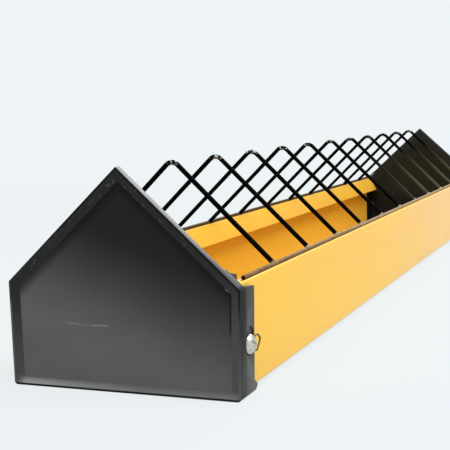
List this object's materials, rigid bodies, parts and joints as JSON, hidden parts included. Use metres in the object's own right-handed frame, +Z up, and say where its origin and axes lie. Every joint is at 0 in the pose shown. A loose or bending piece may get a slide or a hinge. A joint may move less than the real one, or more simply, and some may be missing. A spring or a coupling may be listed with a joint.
{
  "type": "livestock feeding tray",
  "caption": "Long linear feeding trough with gabled end caps and a hinged wire grille that keeps animals out of the feed.",
  "frame": {"origin": "centre of the footprint, on the floor", "axes": "+Z up, +Y along the trough from the front cap to the rear cap, X across it, with the hinge rod at -X"},
  "size_m": [0.1728, 1, 0.146],
  "materials": {
    "trough_plastic": "satin yellow extruded plastic",
    "cap_plastic": "satin black moulded plastic",
    "wire_coating": "black powder coated wire",
    "zinc": "bright zinc plated steel"
  },
  "bodies": {
    "base": {"trough": "trough_plastic", "end_cap_front": "cap_plastic", "end_cap_rear": "cap_plastic", "bolt_front_right": "zinc", "bolt_front_left": "zinc", "bolt_rear_right": "zinc", "bolt_rear_left": "zinc", "washer_front_right": "zinc", "washer_front_left": "zinc", "washer_rear_right": "zinc", "washer_rear_left": "zinc", "nut_front_right": "zinc", "nut_front_left": "zinc", "nut_rear_right": "zinc", "nut_rear_left": "zinc"},
    "grille": {"hinge_rod": "wire_coating", "rest_rod": "wire_coating", "cross_wire_01": "wire_coating", "cross_wire_02": "wire_coating", "cross_wire_03": "wire_coating", "cross_wire_04": "wire_coating", "cross_wire_05": "wire_coating", "cross_wire_06": "wire_coating", "cross_wire_07": "wire_coating", "cross_wire_08": "wire_coating", "cross_wire_09": "wire_coating", "cross_wire_10": "wire_coating", "cross_wire_11": "wire_coating"}
  },
  "joints": [
    {"name": "grille_hinge", "type": "hinge", "parent": "base", "child": "grille", "pos_m": [-0.0749, 0, 0.0738], "axis": [0, -1, 0], "range_deg": [0, 100]}
  ]
}
